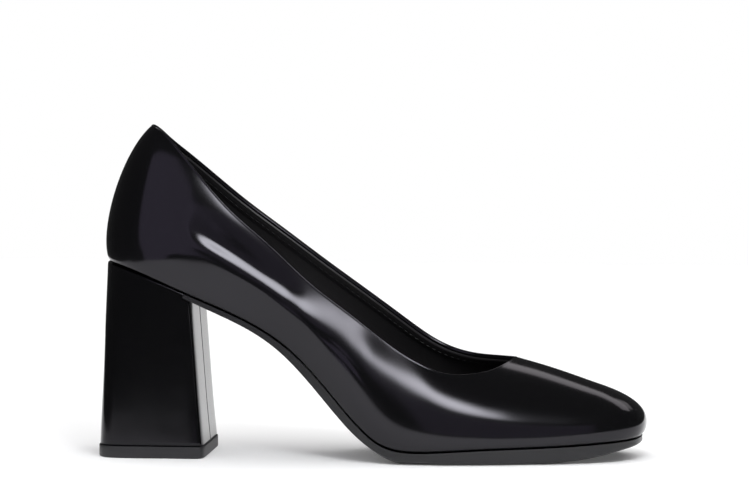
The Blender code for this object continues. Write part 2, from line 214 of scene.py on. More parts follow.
CREASE = [
    Fold(-80.0, 101.5, 0.0, 4.0, 6.0),
    Fold(-74.0, 98.5, -0.2, 4.0, 6.0),
    Fold(-66.0, 93.6, -0.9, 4.0, 6.0),
    Fold(-57.0, 88.4, -1.0, 4.0, 6.0),
    Fold(-49.0, 83.5, -0.9, 4.0, 6.0),
    Fold(-40.0, 77.5, -0.55, 4.0, 6.0),
    Fold(-32.0, 72.2, -0.2, 4.0, 6.0),
    Fold(-24.0, 67.0, 0.0, 4.0, 6.0),
    Fold(-18.0, 63.0, 0.0, 4.0, 6.0),
]
DRAWN_IN = [
    Fold(-74.0, 125.0, 0.0, 10.0, 10.0),
    Fold(-66.0, 116.5, -0.2, 10.0, 10.0),
    Fold(-57.0, 107.2, -0.5, 10.0, 10.0),
    Fold(-49.0, 100.4, -1.0, 10.0, 10.0),
    Fold(-40.0, 92.5, -1.6, 10.5, 11.0),
    Fold(-32.0, 84.2, -1.95, 10.3, 11.0),
    Fold(-25.0, 78.2, -2.05, 10.3, 11.0),
    Fold(-18.0, 72.0, -2.15, 10.3, 11.0),
    Fold(-12.0, 67.2, -2.25, 10.2, 11.0),
    Fold(-6.0, 62.6, -2.2, 9.8, 11.0),
    Fold(-2.0, 59.6, -2.15, 9.3, 11.0),
    Fold(3.0, 56.4, -2.15, 9.0, 11.0),
    Fold(11.0, 51.2, -1.95, 9.0, 11.0),
    Fold(18.0, 47.2, -1.0, 9.0, 11.0),
    Fold(25.0, 43.8, -0.2, 9.0, 11.0),
    Fold(32.0, 42.0, 0.0, 9.0, 11.0),
]

# Lights and cards of the studio: where each stands and what it faces, in metres from the shoe, its
# size, how bright the middle of its face is beside white paper, whether that fades to its edges,
# whether the shoe mirrors it, its colour, and the one piece that it lights if it is flagged off the rest
Softbox = namedtuple(
    "Softbox", "name place aim width height brightness fades reflected code only", defaults=[None]
)
CARD_HEX = "#EADDFF"
SOFTBOXES = [
    Softbox("floor_light", (0.0, 0.3, 4.0), (0.0, 0.3, 0.0), 12.0, 12.0, 1.27, False, False, "#FFFFFF"),
    Softbox("main_box", (0.16, -0.492, 0.54), (0.0, 0.0, 0.06), 0.255, 0.27, 16.0, True, True, "#FBFDFF"),
    Softbox("back_box", (0.57, 1.29, 1.47), (0.0, 0.0, 0.06), 1.6, 0.42, 1.45, False, True, "#FFFAFD"),
    Softbox("toe_box", (0.85, 1.35, 1.15), (0.0, 0.0, 0.06), 0.5, 0.35, 0.7, False, True, "#FFFAFD"),
    Softbox(
        "left_card", (-0.2725, -0.3, 0.325), (-0.2725, 0.0, 0.325), 0.245, 0.56, 0.57,
        False, True, CARD_HEX, "upper_leather",
    ),
    Softbox(
        "foot_card", (-0.2975, -0.3, 0.0175), (-0.2975, 0.0, 0.0175), 0.195, 0.055, 0.57,
        False, True, CARD_HEX, "upper_leather",
    ),
    Softbox(
        "low_card", (-0.13, -0.3, 0.0775), (-0.13, 0.0, 0.0775), 0.04, 0.085, 0.57,
        False, True, CARD_HEX, "upper_leather",
    ),
    Softbox("side_card", (-0.11, -0.3, 0.36), (-0.11, 0.0, 0.36), 0.08, 0.48, 0.55, False, True, CARD_HEX),
    Softbox("front_wall", (0.68, -2.22, 0.68), (0.0, 0.0, 0.06), 1.6, 1.4, 0.28, False, True, CARD_HEX),
]
LAMP_FACTOR = np.pi
ROOM_DARK = 0.04
FLOOR = ((-0.335, -0.28), (1.5, 0.9))

# Counts along and across the surfaces
STATIONS = 190
THROAT_STATIONS = 26
THROAT_SPAN = 20.0
FINE = 20001
WALL_SAMPLES = 700
STEP = 0.0001
NEAR_RIDGE = 0.999


def column(table, name):
    """One named column of a table."""
    return np.array([getattr(row, name) for row in table])


def spline(knots, values, at):
    """Natural cubic spline through the knots, carried straight on past its ends."""
    count = len(knots)
    step = np.diff(knots)
    rate = np.diff(values) / step
    matrix = np.eye(count)
    change = np.zeros(count)
    for i in range(1, count - 1):
        matrix[i, i - 1 : i + 2] = step[i - 1], 2 * (step[i - 1] + step[i]), step[i]
        change[i] = 6 * (rate[i] - rate[i - 1])
    bend = np.linalg.solve(matrix, change)
    inside = np.clip(at, knots[0], knots[-1])
    i = np.clip(np.searchsorted(knots, inside) - 1, 0, count - 2)
    after = (inside - knots[i]) / step[i]
    before = 1 - after
    curved = (before**3 - before) * bend[i] + (after**3 - after) * bend[i + 1]
    first = rate[0] - step[0] * bend[1] / 6
    last = rate[-1] + step[-1] * bend[-2] / 6
    past = np.minimum(at - knots[0], 0) * first + np.maximum(at - knots[-1], 0) * last
    return before * values[i] + after * values[i + 1] + curved * step[i] ** 2 / 6 + past


def along(table, name, at):
    """A table's column, read smoothly at places along its first column."""
    return spline(column(table, table[0]._fields[0]), column(table, name), at)


def feather_height(x):
    """Height of the feather line, where the upper turns in under the foot."""
    return along(FEATHER, "height", x)


def ridge_height(x):
    """Height of the last's ridge."""
    return along(RIDGE, "height", x)


def sole_bottom(x):
    """Height of the outsole's underside along its middle, flat where it would pass the floor."""
    return np.maximum(along(SOLE, "bottom", x), 0.0)


def slope(curve, x):
    """How steeply a curve climbs at x."""
    return (curve(x + 0.1) - curve(x - 0.1)) / 0.2


def steepness(x):
    """How much a thickness grows when it is measured straight up instead of square to the sole."""
    return np.sqrt(1 + slope(feather_height, x) ** 2)


def feather_laps():
    """The feather line's points, three times round, with their places along it."""
    x = column(FEATHER, "x")
    outer = np.stack([x, -column(FEATHER, "outer")], 1)
    inner = np.stack([x, column(FEATHER, "inner")], 1)
    ring = np.concatenate([outer, inner[-2:0:-1]])
    laps = np.concatenate([ring, ring, ring])
    run = np.concatenate([[0], np.cumsum(np.hypot(*np.diff(laps, axis=0).T))])
    return laps, run, len(ring)


LAPS, LAP_RUN, LAP = feather_laps()


def feather_point(turn):
    """x and y on the closed feather line: turn goes from 0 to 1 once round it, outer side first."""
    place = LAP_RUN[LAP] + np.mod(turn, 1) * (LAP_RUN[2 * LAP] - LAP_RUN[LAP])
    return spline(LAP_RUN, LAPS[:, 0], place), spline(LAP_RUN, LAPS[:, 1], place)


TURNS = np.linspace(0, 1, FINE)
TURN_X = feather_point(TURNS)[0]
TOE = int(np.argmax(TURN_X))
BACK_X, TOE_X = TURN_X[0], TURN_X[TOE]


def on_outer(turn):
    """True on the outer side of the foot."""
    return np.mod(turn, 1) < TURNS[TOE]


def eased(distance):
    """Zero before 0, then a smooth start, then as steep as the distance itself."""
    share = np.clip(distance / FAN_EASE, 0, 1)
    return FAN_EASE * (share**3 - share**4 / 2) + np.maximum(distance - FAN_EASE, 0)


def spine_x(x):
    """The spine point of the section at x: still in both fans, and moving along between them."""
    slowing = TOE_FAN - FAN_EASE
    pace = (SPINE_TOE - SPINE_BACK) / (slowing - HEEL_FAN)
    return SPINE_BACK + pace * (eased(x - HEEL_FAN) - eased(x - slowing))


def rays(turn):
    """Spine point, direction out to the feather line, reach and x of each section."""
    x, y = feather_point(turn)
    middle = spine_x(x)
    aside = along(RIDGE, "inwards", middle)
    reach = np.hypot(x - middle, y - aside)
    return middle, aside, (x - middle) / reach, (y - aside) / reach, reach, x


def wall(turn, share):
    """The last's wall: in each section a cubic curve from the feather line (share 0) to the ridge
    (share 1), leaving the one at its lean and meeting the other along the ridge's slope."""
    middle, aside, out_x, out_y, reach, x = rays(turn)
    outer = on_outer(turn)
    lean = np.radians(np.where(outer, along(WALLS, "lean_outer", x), along(WALLS, "lean_inner", x)))
    rise = np.where(outer, along(WALLS, "rise_outer", x), along(WALLS, "rise_inner", x))
    crown = along(WALLS, "crown", x) * reach
    foot, top = feather_height(x), ridge_height(middle)
    fall = slope(ridge_height, middle) * out_x
    rest = 1 - share
    start, leave, arrive, end = rest**3, 3 * rest**2 * share, 3 * rest * share**2, share**3
    away = reach * start + (reach + rise * np.sin(lean)) * leave + crown * arrive
    up = foot * start + (foot + rise * np.cos(lean)) * leave + (top + crown * fall) * arrive + top * end
    return np.stack([middle + away * out_x, aside + away * out_y, up], -1)


def facing_out(surface, turn, share):
    """Unit normals of a surface: its step along the foot crossed with its step up the wall."""
    share = np.minimum(share, NEAR_RIDGE)
    ahead = surface(turn + STEP, share) - surface(turn - STEP, share)
    up = surface(turn, share + STEP) - surface(turn, share - STEP)
    normal = np.cross(ahead, up)
    return normal / np.linalg.norm(normal, axis=-1, keepdims=True)


def fold_depth(points, turn):
    """How far the folds stand out at points of the upper: each has a bell across its line, with its
    own width under and over the line, and its height follows its table along the line."""
    depth = np.zeros(points.shape[:-1])
    for fold in (SWELLING, CREASE, DRAWN_IN):
        x = np.clip(points[..., 0], fold[0].x, fold[-1].x)
        rate = slope(lambda place: along(fold, "z", place), x)
        across = (points[..., 2] - along(fold, "z", x)) / np.sqrt(1 + rate**2)
        width = np.where(across < 0, along(fold, "under", x), along(fold, "over", x))
        depth += along(fold, "out", x) * np.exp(-((across / width) ** 2))
    return np.where(on_outer(turn), depth, 0)


def shaped(turn, share):
    """The upper's outer surface: the last's wall, pushed along its normal by the folds."""
    points = wall(turn, share)
    return points + fold_depth(points, turn)[..., None] * facing_out(wall, turn, share)


def topline_sheet(x, outer, below):
    """Height of the topline over x, lowered so that the edge lies the given length below it."""
    sheet = np.zeros(np.shape(x))
    for name, here in (("outer", outer), ("inner", np.logical_not(outer))):
        height = along(TOPLINE, name, x)
        steep = slope(lambda place: along(TOPLINE, name, place), x)
        sheet = np.where(here, height - below * np.sqrt(1 + steep**2), sheet)
    return sheet


def throat_x(below):
    """Where the lowered topline meets the ridge."""
    x = np.linspace(50, 75, FINE)
    over = ridge_height(x) - topline_sheet(x, True, below)
    return x[np.argmax(over < 0)]


def columns(below):
    """Turns of the sections once round the foot, and where the topline cuts each (share 1 ahead
    of the throat). The same x on both sides, closer together at the ends and about the throat."""
    fine = np.linspace(BACK_X, TOE_X, FINE)
    throat = np.interp(throat_x(below), spine_x(fine), fine)
    x = (BACK_X + TOE_X) / 2 - (TOE_X - BACK_X) / 2 * np.cos(np.linspace(0, np.pi, STATIONS))
    near = THROAT_SPAN * np.linspace(0, 1, THROAT_STATIONS + 1) ** 2
    close = np.concatenate([throat - near[:0:-1], throat + near])
    x = np.sort(np.concatenate([x[np.abs(x - throat) > THROAT_SPAN + 1], close]))
    outer = np.interp(x, TURN_X[: TOE + 1], TURNS[: TOE + 1])
    inner = np.interp(x, TURN_X[: TOE - 1 : -1], TURNS[: TOE - 1 : -1])
    turn = np.concatenate([outer, inner[-2:0:-1]])
    shares = np.linspace(0, 1, WALL_SAMPLES)
    points = wall(turn[:, None], shares)
    over = points[..., 2] - topline_sheet(points[..., 0], on_outer(turn)[:, None], below)
    first = np.argmax(over > 0, axis=1)
    row = np.arange(len(turn))
    part = over[row, first - 1] / (over[row, first - 1] - over[row, first])
    edge = (first - 1 + part) * shares[1]
    ahead = np.concatenate([x, x[-2:0:-1]]) >= throat - STEP
    edge = np.where(ahead, 1.0, edge)
    partner = np.concatenate([np.arange(len(x)), np.arange(len(x) - 2, 0, -1)])
    return turn, edge, ahead, partner


def quads(shape, wrap):
    """Corner numbers of the faces of a grid; wrap joins its last column to its first."""
    index = np.arange(shape[0] * shape[1]).reshape(shape[:2])
    if wrap:
        index = np.concatenate([index, index[:1]])
    corners = [index[:-1, :-1], index[1:, :-1], index[1:, 1:], index[:-1, 1:]]
    return np.stack(corners, -1).reshape(-1, 4)


def build(name, patches, material, normals=None):
    """One mesh from patches of (points, faces): points that meet become one, faces that close up
    to a line go, and those with one short side become triangles."""
    count = np.cumsum([0] + [len(points.reshape(-1, 3)) for points, _ in patches])
    points = np.concatenate([points.reshape(-1, 3) for points, _ in patches])
    faces = np.concatenate([faces + start for (_, faces), start in zip(patches, count)])
    _, first, joined = np.unique(np.round(points, 5), axis=0, return_index=True, return_inverse=True)
    faces = joined.reshape(-1)[faces]
    same = faces == np.roll(faces, -1, axis=1)
    crossed = (faces[:, 0] == faces[:, 2]) | (faces[:, 1] == faces[:, 3])
    whole = faces[(same.sum(1) == 0) & ~crossed]
    pointed = (same.sum(1) == 1) & ~crossed
    triangles = [np.delete(faces[pointed & same[:, k]], k, axis=1) for k in range(4)]
    polygons = whole.tolist() + np.concatenate(triangles).tolist()
    mesh = bpy.data.meshes.new(name)
    mesh.from_pydata(((points[first] - ORIGIN) * MM).tolist(), [], polygons)
    if mesh.validate():
        raise RuntimeError(name + ": the mesh had faults")
    mesh.shade_smooth()
    if normals is None:
        mesh.set_sharp_from_angle(angle=np.radians(35))
    else:
        mesh.normals_split_custom_set_from_vertices(normals[first].tolist())
    mesh.materials.append(material)
    piece = bpy.data.objects.new(name, mesh)
    bpy.context.scene.collection.objects.link(piece)
    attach(piece, "root")
    return piece


def collar_path(turn, ahead):
    """The collar's columns in order round the opening."""
    outer = on_outer(turn)
    throat = np.flatnonzero(ahead & outer)[0]
    inner = np.flatnonzero(~ahead & ~outer)
    return np.concatenate([np.arange(throat + 1), inner])


def collar_frame(turn, edge, ahead):
    """Points, normals and directions out of the leather (away from its edge) round the collar."""
    path = collar_path(turn, ahead)
    points = shaped(turn[path], edge[path])
    normal = facing_out(shaped, turn[path], edge[path])
    run = np.roll(points, -1, axis=0) - np.roll(points, 1, axis=0)
    out = np.cross(normal, run)
    return path, points, normal, out / np.linalg.norm(out, axis=1, keepdims=True)


def edge_profile(thick):
    """The folded topline in section, from the outer skin over to the inner: a lip that leans out and
    is almost flat, a tight round to the top, and a quarter ellipse down the inside. Gives depth under
    the outer skin and height over its edge, and how far each point faces outwards and upwards."""
    flat, tight = LIP_FLAT * thick, LIP_TIGHT * thick
    tilt = np.concatenate([np.linspace(-LIP_LEAN, 0, 6), np.linspace(0, np.pi / 2, 6)[1:]])
    lean, bend = np.minimum(tilt, 0), np.maximum(tilt, 0)
    depth = flat * (np.cos(LIP_LEAN) - np.cos(lean)) + tight * (1 - np.cos(bend))
    over = flat * (np.sin(LIP_LEAN) + np.sin(lean)) + tight * np.sin(bend)
    fall = np.linspace(0, np.pi / 2, 8)[1:]
    wide, tall = thick - depth[-1], over[-1]
    facing = np.stack([-np.sin(fall) / wide, np.cos(fall) / tall])
    facing /= np.linalg.norm(facing, axis=0)
    depth = np.concatenate([depth, depth[-1] + wide * np.sin(fall)])
    over = np.concatenate([over, tall * np.cos(fall)])
    side = np.concatenate([np.cos(tilt), facing[0]])
    upwards = np.concatenate([np.sin(tilt), facing[1]])
    return depth[:, None], over[:, None], side[:, None], upwards[:, None]


def shell(below, outside, inside, foot, rows):
    """A closed skin of the upper between two depths under its surface: its outside, a round edge
    at the topline, its inside, and a foot that is turned in under the last or cut off."""
    turn, edge, ahead, partner = columns(below)
    middle, aside, out_x, out_y, reach, x = rays(turn)
    rise = along(WALLS, "rise_outer", x)
    start = FOLD / (3 * rise)
    share = start[:, None] + (edge - start)[:, None] * np.linspace(0, 1, rows)
    surface = shaped(turn[:, None], share)
    normal = facing_out(shaped, turn[:, None], share)
    inner_half = ~on_outer(turn) & ahead
    surface[inner_half, -1] = surface[partner[inner_half], -1]
    normal[inner_half, -1] = normal[partner[inner_half], -1]
    skins = [surface - outside * normal, (surface - inside * normal)[:, ::-1]]
    facings = [normal, -normal[:, ::-1]]
    if foot:
        inwards = np.array([MARGIN, (MARGIN + FOLD) / 2, FOLD])
        margin = margin_points(middle, aside, out_x, out_y, reach, inwards, 0.0)
        corner = margin_points(middle, aside, out_x, out_y, reach, np.zeros(1), 0.0)
        bend = np.linspace(0, 1, 7)[1:-1, None]
        turned = (
            (1 - bend) ** 2 * margin[:, -1:] + 2 * bend * (1 - bend) * corner + bend**2 * skins[0][:, :1]
        )
        inner_foot = margin_points(middle, aside, out_x, out_y, reach, np.array([FOLD, MARGIN]), inside)
        skins = [np.concatenate([margin, turned, skins[0]], 1), np.concatenate([skins[1], inner_foot], 1)]
        down = np.zeros((len(turn), 1, 3)) - [0, 0, 1]
        blend = (1 - bend) * down + bend * normal[:, :1]
        blend /= np.linalg.norm(blend, axis=2, keepdims=True)
        facings = [
            np.concatenate([np.repeat(down, 3, 1), blend, facings[0]], 1),
            np.concatenate([facings[1], np.repeat(-down, 2, 1)], 1),
        ]
    path, points, normal, out = collar_frame(turn, edge, ahead)
    depth, over, facing_side, facing_up = edge_profile(inside - outside)
    roll = points[:, None] - (outside + depth) * normal[:, None] + over * out[:, None]
    roll_facing = facing_side * normal[:, None] + facing_up * out[:, None]
    sole_strip = np.stack([skins[1][:, -1], skins[0][:, 0]], 1)
    strip_facing = np.stack([facings[1][:, -1], facings[0][:, 0]], 1)
    grids = [skins[0], roll, skins[1], sole_strip]
    patches = [(grid, quads(grid.shape, True)) for grid in grids]
    facings = [facings[0], roll_facing, facings[1], strip_facing]
    return patches, np.concatenate([facing.reshape(-1, 3) for facing in facings])


def margin_points(middle, aside, out_x, out_y, reach, inwards, over):
    """Points of the lasting margin: the given lengths in from the feather line, lifted by over."""
    away = reach[:, None] - inwards
    x = middle[:, None] + away * out_x[:, None]
    y = aside[:, None] + away * out_y[:, None]
    return np.stack([x, y, feather_height(x) + over * steepness(x)], -1)


def layer(turn, inset, shares, heights):
    """A flat piece: points at shares of the reach from the spine, at the heights that x gives."""
    middle, aside, out_x, out_y, reach, _ = rays(turn)
    away = (reach - inset)[:, None] * shares
    x = middle[:, None] + away * out_x[:, None]
    y = aside[:, None] + away * out_y[:, None]
    return np.stack([x, y, heights(x)], -1)


def join_middle(points, partner):
    """Makes the two sides of a flat piece share their points on the spine."""
    points[:, 0] = points[partner, 0]
    points[:, -1] = points[partner, -1]
    return points


def heel_point(angle, depth, proud):
    """The heel in plan: at each depth two half superellipses, back and front, in polar form from
    its widest place, pushed out by proud. Angle 0 is the middle of the front."""
    back, front, half, widest, square = [along(HEEL, name, depth) for name in HeelRing._fields[1:]]
    middle = back + widest * (front - back)
    ahead = np.cos(angle) >= 0
    length = np.where(ahead, front - middle, middle - back) + proud
    power = np.where(ahead, HEEL_FRONT_SQUARE, square)
    across = half + proud
    size = np.abs(np.cos(angle) / length) ** power + np.abs(np.sin(angle) / across) ** power
    radius = size ** (-1 / power)
    return middle + radius * np.cos(angle), radius * np.sin(angle)


def add(tree, kind, inputs=None, **settings):
    """Adds a node with its settings; an input is a value, or the socket that feeds it."""
    node = tree.nodes.new(kind)
    for name, value in settings.items():
        setattr(node, name, value)
    for name, value in (inputs or {}).items():
        if isinstance(value, bpy.types.NodeSocket):
            tree.links.new(value, node.inputs[name])
        else:
            node.inputs[name].default_value = value
    return node


def linear(code):
    """sRGB hex to linear red, green, blue and alpha."""
    values = np.array([int(code[i : i + 2], 16) for i in (1, 3, 5)]) / 255
    flat = np.where(values <= 0.04045, values / 12.92, ((values + 0.055) / 1.055) ** 2.4)
    return (*flat.tolist(), 1.0)


def surface_material(name):
    """An empty material with its output, its shader and the piece's own coordinates."""
    material = bpy.data.materials.new(name)
    material.use_nodes = True
    tree = material.node_tree
    tree.nodes.clear()
    output = add(tree, "ShaderNodeOutputMaterial")
    shader = add(tree, "ShaderNodeBsdfPrincipled")
    tree.links.new(shader.outputs["BSDF"], output.inputs["Surface"])
    place = add(tree, "ShaderNodeTexCoord").outputs["Object"]
    return material, tree, shader, place


def polished_leather(name, settings, gloss, ior):
    """Smooth calf leather, dyed black and polished: deep black, with sharp reflections that waver a
    little because the skin is not quite flat, and a fine grain that only close light shows. Where the
    foot bends it the polish is dulled, and its reflections are wider and softer. The heel's cover has
    less polish over its dye, so it mirrors less light: its IOR is lower."""
    material, tree, shader, place = surface_material(name)
    shader.inputs["Base Color"].default_value = linear(settings.leather_hex)
    shader.inputs["IOR"].default_value = ior
    shader.inputs["Specular Tint"].default_value = linear("#F8F5FF")
    grain_size, wave_size = 0.45 * MM, 16 * MM
    grain = add(tree, "ShaderNodeTexNoise", {"Vector": place, "Scale": 1 / grain_size, "Detail": 2.0})
    wave = add(tree, "ShaderNodeTexNoise", {"Vector": place, "Scale": 1 / wave_size, "Detail": 1.0})
    rough = add(
        tree,
        "ShaderNodeMapRange",
        {"Value": wave.outputs["Fac"], "To Min": gloss - 0.02, "To Max": gloss + 0.03},
    )
    ahead = add(tree, "ShaderNodeVectorMath", {0: place, 1: (1, 0, 0)}, operation="DOT_PRODUCT")
    over = add(tree, "ShaderNodeVectorMath", {0: place, 1: (0.95, 0, 1)}, operation="DOT_PRODUCT")
    worn = settings.dulling
    for where, start, end in ((ahead, -28, -6), (ahead, 29, 8), (over, 36, 44)):
        ends = {"From Min": start * MM, "From Max": end * MM, "To Max": worn}
        ramp = {"Value": where.outputs["Value"], **ends}
        worn = add(tree, "ShaderNodeMapRange", ramp, interpolation_type="SMOOTHSTEP").outputs["Result"]
    dulled = add(tree, "ShaderNodeMath", {0: rough.outputs["Result"], 1: worn}, operation="ADD")
    tree.links.new(dulled.outputs[0], shader.inputs["Roughness"])
    swell = add(
        tree,
        "ShaderNodeBump",
        {"Height": wave.outputs["Fac"], "Strength": 0.2, "Distance": 0.25 * MM},
    )
    skin = add(
        tree,
        "ShaderNodeBump",
        {"Height": grain.outputs["Fac"], "Strength": 0.1, "Distance": 0.03 * MM},
    )
    tree.links.new(swell.outputs["Normal"], skin.inputs["Normal"])
    tree.links.new(skin.outputs["Normal"], shader.inputs["Normal"])
    return material


def dull_leather(name, code, roughness, grain):
    """Unpolished lining leather: black, soft sheen, with a pebbled grain of the given size in mm."""
    material, tree, shader, place = surface_material(name)
    shader.inputs["Base Color"].default_value = linear(code)
    shader.inputs["IOR"].default_value = 1.45
    shader.inputs["Roughness"].default_value = roughness
    cells = add(
        tree,
        "ShaderNodeTexVoronoi",
        {"Vector": place, "Scale": 1 / (grain * MM)},
        feature="SMOOTH_F1",
    )
    bump = add(
        tree,
        "ShaderNodeBump",
        {"Height": cells.outputs["Distance"], "Strength": 0.25, "Distance": 0.08 * MM},
    )
    tree.links.new(bump.outputs["Normal"], shader.inputs["Normal"])
    return material


def moulded_rubber(name, code, roughness):
    """Moulded black rubber: satin, with the faint stipple that a blasted mould leaves."""
    material, tree, shader, place = surface_material(name)
    shader.inputs["Base Color"].default_value = linear(code)
    shader.inputs["IOR"].default_value = 1.5
    stipple_size = 0.5 * MM
    stipple = add(tree, "ShaderNodeTexNoise", {"Vector": place, "Scale": 1 / stipple_size, "Detail": 3.0})
    rough = add(
        tree,
        "ShaderNodeMapRange",
        {"Value": stipple.outputs["Fac"], "To Min": roughness - 0.06, "To Max": roughness + 0.06},
    )
    tree.links.new(rough.outputs["Result"], shader.inputs["Roughness"])
    bump = add(
        tree,
        "ShaderNodeBump",
        {"Height": stipple.outputs["Fac"], "Strength": 0.2, "Distance": 0.05 * MM},
    )
    tree.links.new(bump.outputs["Normal"], shader.inputs["Normal"])
    return material


class HighHeelSettings(bpy.types.PropertyGroup):
    """What a user would change on the shoe."""

    leather_hex: bpy.props.StringProperty(
        name="Leather", description="Colour of the upper and the heel, as sRGB hex", default="#0B0B0C"
    )
    lining_hex: bpy.props.StringProperty(
        name="Lining", description="Colour of the lining, as sRGB hex", default="#222122"
    )
    facing_hex: bpy.props.StringProperty(
        name="Facing leather", description="Colour of the facing, as sRGB hex", default="#222122"
    )
    rubber_hex: bpy.props.StringProperty(
        name="Rubber", description="Colour of the sole, as sRGB hex", default="#1D1D1F"
    )
    lift_hex: bpy.props.StringProperty(
        name="Top lift", description="Colour of the wear piece, as sRGB hex", default="#2A2A2C"
    )
    gloss: bpy.props.FloatProperty(
        name="Leather roughness", description="0 is a mirror", default=0.13, min=0.02, max=1.0
    )
    heel_gloss: bpy.props.FloatProperty(
        name="Heel roughness", description="0 is a mirror", default=0.09, min=0.02, max=1.0
    )
    dulling: bpy.props.FloatProperty(
        name="Dulling", description="Roughness added where the foot bends the upper", default=0.115, min=0.0
    )
    wall: bpy.props.FloatProperty(
        name="Wall", description="Thickness of the upper, mm", default=1.6, min=0.8, max=3.0
    )
    facing: bpy.props.FloatProperty(
        name="Facing", description="Width of the facing inside the topline, mm", default=4.6, min=1.0
    )
    stitch: bpy.props.FloatProperty(
        name="Stitch", description="Spacing of the stitches, mm", default=2.8, min=1.0
    )


class StudioSettings(bpy.types.PropertyGroup):
    """What a user would change in the studio."""

    floor_hex: bpy.props.StringProperty(
        name="Floor", description="Colour of the floor, as sRGB hex", default="#F4F4F4"
    )
    distance: bpy.props.FloatProperty(
        name="Camera distance", description="From the shoe", default=2.8, unit="LENGTH"
    )
    azimuth: bpy.props.FloatProperty(
        name="Azimuth", description="Round towards the toe", default=np.radians(6.3), subtype="ANGLE"
    )
    elevation: bpy.props.FloatProperty(
        name="Elevation", description="Above the floor", default=np.radians(5.0), subtype="ANGLE"
    )


class HIGHHEEL_OT_upper(bpy.types.Operator):
    """Makes the polished upper: a closed wall with a folded edge, turned in under the foot"""

    bl_idname = "high_heel.upper"
    bl_label = "Upper"

    def execute(self, context):
        settings = context.scene.high_heel
        lip = settings.wall * (LIP_FLAT * np.sin(LIP_LEAN) + LIP_TIGHT)
        patches, normals = shell(lip, 0.0, settings.wall, True, 64)
        leather = polished_leather("polished_black_calf", settings, settings.gloss, 1.45)
        upper = build("upper_leather", patches, leather, normals)
        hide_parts("upper")
        return {"FINISHED"}


class HIGHHEEL_OT_lining(bpy.types.Operator):
    """Makes the lining: a thin skin on the inside of the upper"""

    bl_idname = "high_heel.lining"
    bl_label = "Lining"

    def execute(self, context):
        settings = context.scene.high_heel
        inside = settings.wall
        patches, normals = shell(inside / 2 + 0.7, inside + 0.03, inside + 0.4, False, 40)
        lining = dull_leather("black_lining_leather", settings.lining_hex, 0.5, 0.7)
        build("lining", patches, lining, normals)
        return {"FINISHED"}


class HIGHHEEL_OT_facing(bpy.types.Operator):
    """Makes the facing: a band of leather sewn inside the topline, and its row of stitches"""

    bl_idname = "high_heel.facing"
    bl_label = "Facing and stitches"

    def execute(self, context):
        settings = context.scene.high_heel
        inside, width = settings.wall, settings.facing
        turn, share, turn_step, share_step = band_steps(settings.wall / 2)
        profile = np.array(
            [
                (0.4, inside + 0.05),
                (0.45, inside + 0.4),
                (0.8, inside + 0.75),
                (1.5, inside + 0.85),
                (width - 0.5, inside + 0.85),
                (width - 0.1, inside + 0.75),
                (width, inside + 0.55),
                (width, inside + 0.05),
                (0.4, inside + 0.05),
            ]
        )
        band = band_points(turn, share, turn_step, share_step, profile)
        leather = dull_leather("black_facing_leather", settings.facing_hex, 0.4, 0.5)
        build("topline_facing", [(band, quads(band.shape, True))], leather)
        sewn = np.array(
            [
                (width - 1.2, inside + 0.83),
                (width - 1.7, inside + 0.83),
                (width - 1.2, inside + 1.3),
            ]
        )
        stitches = stitch_row(band_points(turn, share, turn_step, share_step, sewn), settings.stitch)
        thread = dull_leather("black_waxed_thread", settings.leather_hex, 0.5, 0.3)
        build("topline_stitches", stitches, thread)
        return {"FINISHED"}


def band_steps(below):
    """Round the collar: where the edge lies on the wall, and the steps of turn and share that go
    one millimetre square to the edge, down the inside."""
    turn, edge, ahead, _ = columns(below)
    path, points, _, out = collar_frame(turn, edge, ahead)
    turn, share = turn[path], edge[path]
    run = np.roll(points, -1, axis=0) - np.roll(points, 1, axis=0)
    low = np.minimum(share, NEAR_RIDGE)
    by_turn = (shaped(turn + STEP, low) - shaped(turn - STEP, low)) / (2 * STEP)
    by_share = (shaped(turn, low + STEP) - shaped(turn, low - STEP)) / (2 * STEP)
    matrix = np.stack(
        [
            np.stack([(by_turn * run).sum(1), (by_share * run).sum(1)], 1),
            np.stack([(by_turn * out).sum(1), (by_share * out).sum(1)], 1),
        ],
        1,
    )
    wanted = np.stack([np.zeros(len(turn)), -np.ones(len(turn))], 1)
    step = np.linalg.solve(matrix, wanted[:, :, None])[:, :, 0]
    return turn, share, step[:, 0], step[:, 1]


def band_points(turn, share, turn_step, share_step, profile):
    """A profile of (length from the edge, depth under the outer surface) carried round the collar."""
    at_turn = turn[:, None] + turn_step[:, None] * profile[:, 0]
    at_share = np.minimum(share[:, None] + share_step[:, None] * profile[:, 0], 1.0)
    surface = shaped(at_turn, at_share)
    return surface - profile[:, 1, None] * facing_out(shaped, at_turn, at_share)


